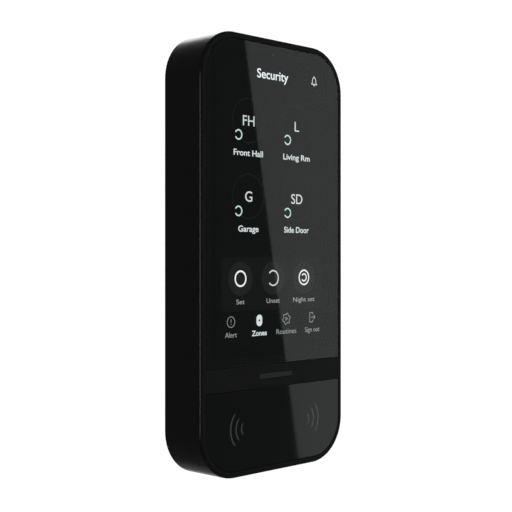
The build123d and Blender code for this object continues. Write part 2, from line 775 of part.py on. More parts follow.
# Battery tray: a moulded frame with a cradle for each cell and a land for the cover's screws.
with BuildPart() as battery_tray:
    with BuildSketch(layer(tray_rear)):
        RectangleRounded(inner_width - 2 * tray_edge_gap, inner_height - 2 * tray_edge_gap,
                         inner_radius - tray_edge_gap)
        with Locations((0, (tray_top + tray_bottom) / 2)):
            Rectangle(2 * tray_half, tray_top - tray_bottom, mode=Mode.INTERSECT)
    extrude(amount=tray_depth)
    for z in (lower_cell_z, upper_cell_z):
        with BuildSketch(Plane.YZ.offset(-tray_half + tray_wall)):
            with Locations((-cell_axis_depth, z)):
                Circle(cell_radius + cell_play)
            with Locations((-tray_rear, z)):
                Rectangle(2 * (cell_axis_depth - tray_rear), cell_diameter - 1.0)
        extrude(amount=2 * (tray_half - tray_wall), mode=Mode.SUBTRACT)
    # divider between the cells that lie end to end, with a hole for each nub
    with BuildSketch(Plane.YZ.offset(cell_xs[0] + cell_length + 0.15)):
        with Locations((-(tray_rear + tray_depth / 2), (cells_top + tray_bottom) / 2)):
            Rectangle(tray_depth, cells_top - tray_bottom)
        with Locations([(-cell_axis_depth, z) for z in (lower_cell_z, upper_cell_z)]):
            Circle(cell_nub_radius + 0.4, mode=Mode.SUBTRACT)
    extrude(amount=cell_nub - cell_play)
    # space in front of the land for the status board
    with BuildSketch(layer(tray_rear + tray_land_depth)):
        with Locations((0, tray_top)):
            Rectangle(2 * tray_half, 2 * (tray_land + 0.2))
    extrude(amount=tray_depth, mode=Mode.SUBTRACT)
    with BuildSketch(layer(tray_rear)):
        with Locations(tray_screw_spots):
            Circle(screw_shank_radius)
    extrude(amount=tray_pilot_depth, mode=Mode.SUBTRACT)
    # guide for the tip of the holding screw
    with BuildSketch(Plane.XY.offset(tray_bottom)):
        with Locations((0, -holding_depth)):
            Circle(holding_shank_radius + fit_gap)
    extrude(amount=5.0, mode=Mode.SUBTRACT)
save(battery_tray, "battery_tray")


leaf_root = tray_half - tray_wall            # the tray wall's inner face
leaf_reach = leaf_root - leaf_sheet - cell_start - cell_play / 2 - fit_gap
leaf_tip = 2 * leaf_sheet
for name, side in (("battery_contacts_left", -1.0), ("battery_contacts_right", 1.0)):
    # a flat strip against the tray's end wall, and a bowed leaf that presses on the cell's end
    with BuildPart() as battery_contacts:
        with BuildSketch(layer(cell_axis_depth - leaf_depth / 2)):
            foot_x = side * (leaf_root - leaf_sheet)
            for z in (lower_cell_z, upper_cell_z):
                with Locations((side * (leaf_root - leaf_sheet / 2), z)):
                    Rectangle(leaf_sheet, 2 * leaf_span + 1.0)
                with BuildLine():
                    ThreePointArc((foot_x, z - leaf_span), (foot_x - side * leaf_reach, z),
                                  (foot_x, z + leaf_span))
                    Line((foot_x, z + leaf_span), (foot_x, z + leaf_span - leaf_tip))
                    ThreePointArc((foot_x, z + leaf_span - leaf_tip),
                                  (foot_x - side * (leaf_reach - leaf_sheet), z),
                                  (foot_x, z - leaf_span + leaf_tip))
                    Line((foot_x, z - leaf_span + leaf_tip), (foot_x, z - leaf_span))
                make_face()
        extrude(amount=leaf_depth)
    save(battery_contacts, name)

# Battery cover and its two screws.
with BuildPart() as battery_cover:
    with BuildSketch(layer(battery_cover_depth)):
        RectangleRounded(inner_width - 2 * tray_edge_gap, inner_height - 2 * tray_edge_gap,
                         inner_radius - tray_edge_gap)
        with Locations((0, (tray_top + tray_bottom) / 2)):
            Rectangle(2 * tray_half, tray_top - tray_bottom, mode=Mode.INTERSECT)
        with Locations(tray_screw_spots):
            Circle(screw_shank_radius + screw_clearance, mode=Mode.SUBTRACT)
    extrude(amount=battery_cover_thickness)
    # finger recess across the top edge
    with BuildSketch(layer(battery_cover_depth)):
        with Locations((0, tray_top - 3.0)):
            SlotOverall(16.0, 3.0)
    extrude(amount=battery_cover_thickness / 2, mode=Mode.SUBTRACT)
save(battery_cover, "battery_cover")

# Slotted headless screws, flush with the battery cover.
with BuildPart() as cover_screws:
    with BuildSketch(layer(battery_cover_depth + 0.05)):
        with Locations(tray_screw_spots):
            Circle(screw_shank_radius)
    extrude(amount=6.0)
    with BuildSketch(layer(battery_cover_depth + 0.05)):
        with Locations(tray_screw_spots):
            Rectangle(1.4, 0.4)
    extrude(amount=0.5, mode=Mode.SUBTRACT)
save(cover_screws, "battery_cover_screws")

# Battery lead's plug on the board, with the socket it sits in.
save(blocks(board_rear, False, 4.2, [(-31.0, board_bottom + 6.0, 8.0, 5.0)], 0.4), "battery_connector")

# ================================================================ supply terminals
socket_rear = cover_depth + 0.5
with BuildPart() as terminal_socket:
    with BuildSketch(layer(socket_rear)):
        with Locations((plug_x, plug_z)):
            Rectangle(plug_width + 2 * (shroud_wall + fit_gap), plug_height + 2 * (shroud_wall + fit_gap))
    extrude(amount=board_rear - socket_rear)
    with BuildSketch(layer(socket_rear)):
        with Locations((plug_x, plug_z)):
            Rectangle(plug_width + 2 * fit_gap, plug_height + 2 * fit_gap)
    extrude(amount=board_rear - socket_rear - shroud_floor, mode=Mode.SUBTRACT)
save(terminal_socket, "terminal_socket")

plug_rear = socket_rear + plug_travel - 0.2 - plug_length
pole_xs = [plug_x + pole_pitch * (pole - 1.5) for pole in range(4)]
wire_row = plug_z - 1.9
screw_row = plug_z + 2.0
with BuildPart() as terminal_plug:
    with BuildSketch(layer(plug_rear)):
        with Locations((plug_x, plug_z)):
            Rectangle(plug_width, plug_height)
    extrude(amount=plug_length)
    with BuildSketch(layer(plug_rear)):
        with Locations([(x, wire_row) for x in pole_xs]):
            Rectangle(2.4, 2.2)
    extrude(amount=3.6, mode=Mode.SUBTRACT)
    with BuildSketch(layer(plug_rear)):
        with Locations([(x, screw_row) for x in pole_xs]):
            Circle(1.25)
    extrude(amount=2.4, mode=Mode.SUBTRACT)
save(terminal_plug, "terminal_plug")

with BuildPart() as terminal_screws:
    with BuildSketch(layer(plug_rear + 0.5)):
        with Locations([(x, screw_row) for x in pole_xs]):
            Circle(1.15)
    extrude(amount=1.9)
    with BuildSketch(layer(plug_rear + 0.5)):
        with Locations([(x, screw_row) for x in pole_xs]):
            Rectangle(1.8, 0.4)
    extrude(amount=0.5, mode=Mode.SUBTRACT)
save(terminal_screws, "terminal_screws")

# ================================================================ power button
def tact_switch(x, z):
    """A square tact switch on the board's rear face with a round nub."""
    with BuildPart() as switch:
        with BuildSketch(layer(board_rear)):
            with Locations((x, z)):
                RectangleRounded(switch_size, switch_size, 0.5)
        extrude(amount=-(switch_height - nub_height))
        with BuildSketch(layer(board_rear - switch_height + nub_height)):
            with Locations((x, z)):
                Circle(nub_radius)
        extrude(amount=-nub_height)
    return switch


save(tact_switch(power_x, power_z), "power_switch")
save(tact_switch(0.0, tamper_z), "tamper_switch")
switch_rear = board_rear - switch_height

power_tip = switch_rear - free_gap - power_travel
power_collar_rear = cover_front + free_gap
with BuildPart() as power_button:
    with BuildSketch(layer(cover_depth - power_proud)):
        with Locations((power_x, power_z)):
            Circle(power_cap_radius)
    extrude(amount=power_collar_rear - cover_depth + power_proud)
    fillet(power_button.faces().sort_by(Axis.Y)[-1].edges(), 0.4)
    with BuildSketch(layer(power_collar_rear)):
        with Locations((power_x, power_z)):
            Circle(power_cap_radius + power_collar)
    extrude(amount=power_collar_thickness)
    with BuildSketch(layer(power_collar_rear + power_collar_thickness)):
        with Locations((power_x, power_z)):
            Circle(power_stem_radius)
    extrude(amount=power_tip - power_collar_rear - power_collar_thickness)
save(power_button, "power_button")

# ================================================================ tamper button
tamper_rear = bracket_thickness + free_gap
collar_rear = cover_front + free_gap
collar_front = collar_rear + tamper_collar_thickness
tamper_tip = switch_rear - free_gap - tamper_travel
with BuildPart() as tamper_button:
    with BuildSketch(layer(tamper_rear)):
        with Locations((0, tamper_z)):
            Circle(tamper_radius)
    extrude(amount=collar_rear - tamper_rear)
    fillet(tamper_button.faces().sort_by(Axis.Y)[-1].edges(), 0.8)
    with BuildSketch(layer(collar_rear)):
        with Locations((0, tamper_z)):
            Circle(tamper_radius + tamper_collar)
    extrude(amount=tamper_collar_thickness)
    with BuildSketch(layer(collar_front)):
        with Locations((0, tamper_z)):
            Circle(tamper_stem_radius)
    extrude(amount=tamper_tip - collar_front)
save(tamper_button, "tamper_button")

# Return spring between the button's collar and the switch.
spring_end_gap = 0.05
coil_length = switch_rear + 0.25 - collar_front - wire - 2 * spring_end_gap
with BuildPart() as tamper_spring:
    with BuildLine() as coil:
        Helix(pitch=coil_length / spring_turns, height=coil_length, radius=spring_radius,
              center=(0, -(collar_front + wire / 2 + spring_end_gap), tamper_z), direction=(0, -1, 0))
    with BuildSketch(Plane(origin=coil.line @ 0, z_dir=coil.line % 0)):
        Circle(wire / 2)
    sweep(is_frenet=True)
save(tamper_spring, "tamper_spring")

# ================================================================ wall bracket
# Bracket: a plate inside the case's rear rim, with hooks, slotted holes, a break-away tamper tab,
# a cable window, a thin lower half behind the battery cover and a flange for the holding screw.
bracket_width = inner_width - 2 * bracket_gap
bracket_radius = inner_radius - bracket_gap
bracket_top = case_top - wall - bracket_gap
bracket_bottom = case_bottom + wall + lift_travel + 2 * free_gap + 0.2
with BuildPart() as wall_bracket:
    with BuildSketch(layer(0.0)):
        with Locations((0, (bracket_top + bracket_bottom) / 2)):
            RectangleRounded(bracket_width, bracket_top - bracket_bottom, bracket_radius)
        with Locations((0, slot_middle)):
            with GridLocations(slot_spacing_x, slot_spacing_z, 2, 2):
                SlotOverall(slot_length, slot_width, mode=Mode.SUBTRACT)
        with Locations((plug_x, plug_z + lift_travel / 2)):
            RectangleRounded(cable_window_width, cable_window_height + lift_travel, cable_window_corner,
                             mode=Mode.SUBTRACT)
        # break-away line round the tamper tab, bridged at four places
        with Locations((0, tab_middle)):
            RectangleRounded(tamper_tab_width + 2 * tamper_tab_cut,
                             tamper_tab_height + 2 * tamper_tab_cut, 3.0,
                             mode=Mode.SUBTRACT)
            RectangleRounded(tamper_tab_width, tamper_tab_height, 2.0)
        with Locations([(x * (tamper_tab_width + tamper_tab_cut) / 2, tab_middle + dz)
                        for x in (-1, 1) for dz in (-tamper_bridge_side, tamper_bridge_side)]):
            Rectangle(tamper_tab_cut + 2 * free_gap, tamper_bridge_width)
        with Locations((0, tab_hole_z)):
            Circle(slot_width / 2, mode=Mode.SUBTRACT)
    extrude(amount=bracket_thickness)
    # thin area that the battery cover slides over
    step_top = tray_top + lift_travel + 2 * free_gap
    with BuildSketch(layer(bracket_step)):
        with Locations((0, (step_top + case_bottom) / 2)):
            Rectangle(2 * (tray_half + 2 * free_gap), step_top - case_bottom)
    extrude(amount=bracket_thickness, mode=Mode.SUBTRACT)
    # hooks: stem through the cover, lip standing up inside it
    lip_rear = cover_front + free_gap
    with BuildSketch(layer(bracket_thickness)):
        with Locations(hook_spots):
            Rectangle(hook_width, hook_stem)
    extrude(amount=lip_rear + hook_lip_thickness - bracket_thickness)
    with BuildSketch(layer(lip_rear)):
        with Locations([(x, z + hook_lip / 2) for x, z in hook_spots]):
            Rectangle(hook_width, hook_stem + hook_lip)
    extrude(amount=hook_lip_thickness)
    # tongue and flange at the bottom
    tongue_top = bracket_bottom + 6.0
    with BuildSketch(layer(0.0)):
        with Locations((0, (tongue_top + flange_bottom) / 2)):
            Rectangle(flange_width, tongue_top - flange_bottom)
    extrude(amount=bracket_step)
    with BuildSketch(layer(0.0)):
        with Locations((0, flange_bottom + flange_thickness / 2)):
            Rectangle(flange_width, flange_thickness)
    extrude(amount=flange_reach)
    with BuildSketch(Plane.XY.offset(flange_bottom)):
        with Locations((0, -holding_depth)):
            Circle(holding_shank_radius + fit_gap)
    extrude(amount=flange_thickness, mode=Mode.SUBTRACT)
save(wall_bracket, "wall_bracket")

# Holding screw: passes up through the flange, its tip in the battery tray's guide.
with BuildPart() as holding_screw:
    with BuildSketch(Plane.XY.offset(flange_bottom)):
        with Locations((0, -holding_depth)):
            Circle(holding_head_radius)
    extrude(amount=-holding_head_height)
    fillet(holding_screw.faces().sort_by(Axis.Z)[0].edges(), 0.6)
    with BuildSketch(Plane.XY.offset(flange_bottom)):
        with Locations((0, -holding_depth)):
            Circle(holding_shank_radius)
    extrude(amount=flange_thickness + holding_reach)
    chamfer(holding_screw.faces().sort_by(Axis.Z)[-1].edges(), 0.4)
    with BuildSketch(Plane.XY.offset(flange_bottom - holding_head_height)):
        with Locations((0, -holding_depth)):
            RegularPolygon(holding_hex_radius, 6)
    extrude(amount=holding_hex_depth, mode=Mode.SUBTRACT)
save(holding_screw, "holding_screw")
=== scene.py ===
"""Looks of a wall-mounted alarm keypad panel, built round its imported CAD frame.

The case, glass, bracket and inner pieces come from the frame and get their finishes here. The
display's picture, the printed border, the contactless marks and the label's print are made here.
All flat shapes are drawn in millimetres and all places in the scene are in metres.
"""
from __future__ import annotations

import json
import logging
import math
from dataclasses import dataclass, field, replace
from enum import Enum
from typing import Any, Iterable

import bmesh
import bpy
from mathutils import Matrix, Vector

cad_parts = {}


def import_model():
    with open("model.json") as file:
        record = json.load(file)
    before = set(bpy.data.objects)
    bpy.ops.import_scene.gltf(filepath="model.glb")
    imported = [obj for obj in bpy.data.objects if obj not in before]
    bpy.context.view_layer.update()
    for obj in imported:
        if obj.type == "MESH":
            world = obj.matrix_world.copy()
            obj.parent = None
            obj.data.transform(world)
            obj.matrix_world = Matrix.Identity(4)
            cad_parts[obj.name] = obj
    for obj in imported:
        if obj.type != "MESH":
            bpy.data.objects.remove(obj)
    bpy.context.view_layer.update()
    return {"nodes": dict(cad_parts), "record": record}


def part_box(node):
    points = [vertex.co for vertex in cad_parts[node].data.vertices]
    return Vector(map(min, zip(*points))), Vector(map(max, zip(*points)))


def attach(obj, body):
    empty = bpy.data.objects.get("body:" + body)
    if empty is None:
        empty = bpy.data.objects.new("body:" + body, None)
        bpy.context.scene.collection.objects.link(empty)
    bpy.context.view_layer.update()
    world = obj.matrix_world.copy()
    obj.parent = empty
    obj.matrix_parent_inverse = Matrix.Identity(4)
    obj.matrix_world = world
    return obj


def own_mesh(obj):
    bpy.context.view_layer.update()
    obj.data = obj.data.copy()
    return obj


MM = 0.001
LOG = logging.getLogger("keypad")
CAP_SHARE = 0.682      # a capital's height in the lettering, as a share of its size
FLOOR_DROP = 0.03      # metres below the panel
PICTURE_DROP = 1.85    # the glass's front face to the display's picture, in millimetres
MARKS_RISE = 0.65      # the reader panel's middle to the middle of its marks, in millimetres
Point = tuple[float, float]
Place = tuple[float, float, float]
Colour = tuple[float, float, float, float]
WHITE: Colour = (1.0, 1.0, 1.0, 1.0)


# ------------------------------------------------------------------ colours and nodes
def linear(hex_colour: str) -> Colour:
    """Turns an sRGB hex colour into linear light.

    Args:
        hex_colour: the colour as "#rrggbb".

    Returns:
        Red, green, blue and an alpha of 1.
    """
    parts = [int(hex_colour[i:i + 2], 16) / 255 for i in (1, 3, 5)]
    red, green, blue = (p / 12.92 if p <= 0.04045 else ((p + 0.055) / 1.055) ** 2.4 for p in parts)
    return red, green, blue, 1.0


def shade(colour: Colour, share: float) -> Colour:
    """Scales a linear colour, keeping its alpha at 1."""
    return colour[0] * share, colour[1] * share, colour[2] * share, 1.0


def add_node(tree: bpy.types.NodeTree, kind: str, settings: dict[str, Any] | None = None,
             **inputs: Any) -> bpy.types.Node:
    """Adds one shader node with its settings, values and links.

    Args:
        tree: the node tree.
        kind: the node's type name, without "ShaderNode".
        settings: attributes of the node itself.
        **inputs: values or output sockets by input name, with "_" for a space.

    Returns:
        The new node.
    """
    node = tree.nodes.new("ShaderNode" + kind)
    for name, value in (settings or {}).items():
        setattr(node, name, value)
    for name, value in inputs.items():
        key = int(name[3:]) if name.startswith("in_") else name.replace("_", " ")
        if isinstance(value, bpy.types.NodeSocket):
            tree.links.new(value, node.inputs[key])
        else:
            node.inputs[key].default_value = value
    return node


class Pattern(Enum):
    """How a surface was made, which sets what its texture looks like."""

    MOULDED = "moulded"      # fine even grain from an eroded tool
    POLISHED = "polished"    # flat, with faint long waves and wiping haze
    ROLLED = "rolled"        # fine lines along one way
    WOVEN = "woven"          # glass cloth under a clear coat
    PRESSED = "pressed"      # sintered or foamed, with coarse round grain


@dataclass(frozen=True)
class Finish:
    """One opaque finish: a common material and how its surface was made.

    Attributes:
        name: what the material is called.
        colour: its sRGB hex colour.
        roughness: the middle of its roughness.
        pattern: how the surface was made.
        ior: index of refraction.
        metallic: 1 for bare metal.
        grain_mm: distance between the grains.
        height_mm: depth of the grain.
        mottle: share by which the colour varies.
        spread: how far the roughness varies each way.
        glow: sRGB hex colour of its own light, or none.
        strength: strength of that light.
        coat: weight of a clear coat.
        matt_front: depth in millimetres from which the face is textured, and how much rougher it is there.
    """

    name: str
    colour: str
    roughness: float
    pattern: Pattern = Pattern.MOULDED
    ior: float = 1.5
    metallic: float = 0.0
    grain_mm: float = 0.5
    height_mm: float = 0.01
    mottle: float = 0.08
    spread: float = 0.04
    glow: str | None = None
    strength: float = 0.0
    coat: float = 0.0
    matt_front: tuple[float, float] | None = None

    def stretch(self) -> Place:
        """Grains per metre along X, Y and Z for this pattern."""
        rate = 1 / (self.grain_mm * MM)
        along = {Pattern.ROLLED: (0.04, 1.0, 1.0), Pattern.POLISHED: (1.0, 1.0, 0.6)}
        return tuple(rate * share for share in along.get(self.pattern, (1.0, 1.0, 1.0)))

    def material(self) -> bpy.types.Material:
        """Builds the node material of this finish.

        Returns:
            The material, made once and found again by its name.
        """
        if self.name in bpy.data.materials:
            return bpy.data.materials[self.name]
        made = bpy.data.materials.new(self.name)
        made.use_nodes = True
        tree = made.node_tree
        tree.nodes.clear()
        place = add_node(tree, "TexCoord")
        scaled = add_node(tree, "Mapping", Vector=place.outputs["Object"], Scale=self.stretch())
        fine = add_node(tree, "TexNoise", Vector=scaled.outputs["Vector"], Scale=1.0, Detail=3.0,
                        Roughness=0.55)
        if self.pattern is Pattern.WOVEN:
            fine = add_node(tree, "TexWave", {"wave_type": "BANDS", "bands_direction": "DIAGONAL"},
                            Vector=scaled.outputs["Vector"], Scale=1.0, Distortion=0.6)
        elif self.pattern is Pattern.PRESSED:
            fine = add_node(tree, "TexVoronoi", Vector=scaled.outputs["Vector"], Scale=1.0)
        broad = add_node(tree, "TexNoise", Vector=place.outputs["Object"], Scale=45.0, Detail=4.0,
                         Roughness=0.6)
        grain = fine.outputs["Distance"] if self.pattern is Pattern.PRESSED else fine.outputs[0]
        base = linear(self.colour)
        tone = add_node(tree, "MixRGB", {"blend_type": "MIX"}, Fac=broad.outputs[0],
                        Color1=shade(base, 1 - self.mottle), Color2=shade(base, 1 + self.mottle))
        rough = add_node(tree, "MapRange", Value=broad.outputs[0], From_Min=0.3, From_Max=0.7,
                         To_Min=max(self.roughness - self.spread, 0.01), To_Max=self.roughness + self.spread)
        roughness = rough.outputs[0]
        if self.matt_front:
            depth, extra = self.matt_front
            spot = add_node(tree, "SeparateXYZ", Vector=place.outputs["Object"])
            front = add_node(tree, "Math", {"operation": "LESS_THAN"}, in_0=spot.outputs["Y"],
                             in_1=-depth * MM)
            roughness = add_node(tree, "Math", {"operation": "MULTIPLY_ADD"}, in_0=front.outputs[0],
                                 in_1=extra, in_2=roughness).outputs[0]
        bump = add_node(tree, "Bump", Height=grain, Strength=0.6, Distance=self.height_mm * MM)
        skin = add_node(tree, "BsdfPrincipled", Base_Color=tone.outputs[0], Roughness=roughness,
                        Normal=bump.outputs[0], Metallic=self.metallic)
        if not self.metallic:
            skin.inputs["IOR"].default_value = self.ior
        if self.coat:
            skin.inputs["Coat Weight"].default_value = self.coat
        if self.glow:
            skin.inputs["Emission Color"].default_value = linear(self.glow)
            skin.inputs["Emission Strength"].default_value = self.strength
        add_node(tree, "OutputMaterial", Surface=skin.outputs[0])
        return made


# Glass, smoked: clear all through with a slight grey tint, mirror-flat on its outer face.
GLASS_TINT = "#e6eaea"


def cover_glass() -> bpy.types.Material:
    """Builds the cover lens's glass: a pane that mirrors by its angle and lets the rest through.

    Returns:
        The glass material.
    """
    made = bpy.data.materials.new("smoked_cover_glass")
    made.use_nodes = True
    tree = made.node_tree
    tree.nodes.clear()
    place = add_node(tree, "TexCoord")
    haze = add_node(tree, "TexNoise", Vector=place.outputs["Object"], Scale=60.0, Detail=3.0)
    rough = add_node(tree, "MapRange", Value=haze.outputs[0], To_Min=0.012, To_Max=0.03)
    angle = add_node(tree, "Fresnel", IOR=1.5)
    side = add_node(tree, "NewGeometry")
    outer = add_node(tree, "Math", {"operation": "SUBTRACT"}, in_0=1.0, in_1=side.outputs["Backfacing"])
    share = add_node(tree, "Math", {"operation": "MULTIPLY"}, in_0=angle.outputs[0], in_1=outer.outputs[0])
    clear = add_node(tree, "BsdfTransparent", Color=linear(GLASS_TINT))
    mirror = add_node(tree, "BsdfAnisotropic", Color=WHITE, Roughness=rough.outputs[0])
    both = add_node(tree, "MixShader", in_0=share.outputs[0], in_1=clear.outputs[0], in_2=mirror.outputs[0])
    add_node(tree, "OutputMaterial", Surface=both.outputs[0])
    return made


# ------------------------------------------------------------------ finishes
CASE = Finish("satin_black_abs", "#1c1c1d", 0.24, ior=1.5, grain_mm=0.45, height_mm=0.003, mottle=0.05,
              matt_front=(22.35, 0.24))
BRACKET = Finish("grained_black_abs", "#1d1d1e", 0.48, ior=1.54, grain_mm=0.6, height_mm=0.02)
PANEL = Finish("polished_black_acrylic", "#0b0c0c", 0.03, Pattern.POLISHED, ior=1.49, grain_mm=18.0,
               height_mm=0.002, spread=0.012)
STATUS = Finish("smoked_diffuser", "#4a4b4c", 0.35, ior=1.49, grain_mm=0.3, height_mm=0.004)
INK = Finish("printed_border_ink", "#0d0e0e", 0.5, Pattern.POLISHED, ior=1.12, grain_mm=4.0, height_mm=0.001)
FOAM = Finish("foam_tape", "#101010", 0.9, Pattern.PRESSED, grain_mm=0.35, height_mm=0.03)
RUBBER = Finish("silicone_seal", "#3a3b3d", 0.7, grain_mm=0.5)
LCD = Finish("polarising_film", "#0b0d0d", 0.4, Pattern.POLISHED, ior=1.12, grain_mm=9.0, height_mm=0.001,
             glow="#1b2120", strength=0.03)
FILM = Finish("diffuser_film", "#dcdcd8", 0.6, Pattern.POLISHED, grain_mm=3.0)
STEEL = Finish("rolled_steel", "#b4b4b2", 0.32, Pattern.ROLLED, metallic=1.0, grain_mm=0.2, height_mm=0.004)
ZINC = Finish("zinc_plated_steel", "#a9acb0", 0.3, Pattern.PRESSED, metallic=1.0, grain_mm=0.4,
              height_mm=0.004)
NICKEL = Finish("nickel_spring_steel", "#c4beb2", 0.22, Pattern.ROLLED, metallic=1.0, grain_mm=0.15,
                height_mm=0.002)
BRASS = Finish("spring_brass", "#c8a45c", 0.28, Pattern.ROLLED, metallic=1.0, grain_mm=0.2, height_mm=0.003)
POLYIMIDE = Finish("polyimide_film", "#a4601c", 0.3, Pattern.POLISHED, grain_mm=2.0, height_mm=0.002)
LAMINATE = Finish("green_laminate", "#14502e", 0.38, Pattern.WOVEN, grain_mm=0.9, height_mm=0.006)
EPOXY = Finish("chip_epoxy", "#202122", 0.55, grain_mm=0.25, height_mm=0.01)
CAN = Finish("drawn_aluminium", "#c9cacc", 0.25, Pattern.ROLLED, metallic=1.0, grain_mm=0.2, height_mm=0.002)
RESIN = Finish("led_resin", "#e4dcae", 0.15, Pattern.POLISHED, grain_mm=0.8)
FERRITE = Finish("ferrite_sheet", "#2b2c2e", 0.6, Pattern.PRESSED, grain_mm=0.8, height_mm=0.01)
SLEEVE = Finish("cell_sleeve", "#27518c", 0.25, Pattern.POLISHED, grain_mm=6.0, height_mm=0.01, coat=0.4)
TRAY = Finish("tray_abs", "#262728", 0.5, grain_mm=0.5, height_mm=0.015)
NYLON = Finish("natural_nylon", "#ddd8c8", 0.45, grain_mm=0.4, height_mm=0.006)
GREEN = Finish("green_nylon", "#1f7a45", 0.42, grain_mm=0.4, height_mm=0.008)
SWITCH = Finish("switch_nylon", "#26272a", 0.45, grain_mm=0.4)
BUTTON = Finish("grey_pom", "#8d8f92", 0.4, grain_mm=0.4, height_mm=0.006)
LABEL = Finish("label_film", "#c9cbcc", 0.35, Pattern.POLISHED, grain_mm=3.0, height_mm=0.002)
LABEL_INK = Finish("label_ink", "#2a2b2c", 0.4, Pattern.POLISHED, grain_mm=3.0, height_mm=0.001)
MARK_INK = Finish("grey_mark_ink", "#8c9090", 0.05, Pattern.POLISHED, grain_mm=3.0, height_mm=0.001)

SLOT_FINISH: dict[str, Finish] = {
    "case_plastic": CASE, "bracket_plastic": BRACKET, "panel_gloss": PANEL, "status_diffuser": STATUS,
    "adhesive_foam": FOAM, "seal_rubber": RUBBER, "lcd_face": LCD, "diffuser_film": FILM,
    "pressed_steel": STEEL, "screw_steel": ZINC, "spring_steel": NICKEL, "aerial_brass": BRASS,
    "flex_film": POLYIMIDE, "board_laminate": LAMINATE, "chip_epoxy": EPOXY, "capacitor_can": CAN,
    "led_resin": RESIN, "ferrite": FERRITE, "cell_wrap": SLEEVE, "tray_plastic": TRAY,
    "connector_nylon": NYLON, "terminal_green": GREEN, "switch_plastic": SWITCH,
    "button_plastic": BUTTON, "label_film": LABEL,
}


class Light(Enum):
    """How bright a part of the display's picture is: colour and strength of its light."""

    TITLE = ("#ffffff", 1.4)
    BRIGHT = ("#ffffff", 1.15)
    INITIAL = ("#ffffff", 0.9)
    ACTIVE = ("#ffffff", 1.15)
    SOFT = ("#f6f8f8", 0.9)
    LABEL = ("#e8eaea", 0.6)
    ICON = ("#e8eaea", 0.56)
    MINT = ("#d0eee4", 1.1)
    OUTLINE = ("#8fa09c", 0.075)
    CARD = ("#a8acad", 0.012)
    DISC = ("#b4b8b9", 0.03)
    DARK = ("#1b2120", 0.03)

    def finish(self) -> Finish:
        """The finish of a picture element lit this way."""
        colour, strength = self.value
        return replace(LCD, name="picture_" + self.name.lower(), glow=colour, strength=strength)


# ------------------------------------------------------------------ flat shapes
def tidy(mesh: bmesh.types.BMesh) -> None:
    """Merges doubles and turns all faces outwards."""
    bmesh.ops.remove_doubles(mesh, verts=mesh.verts, dist=1e-7)
    bmesh.ops.recalc_face_normals(mesh, faces=mesh.faces)


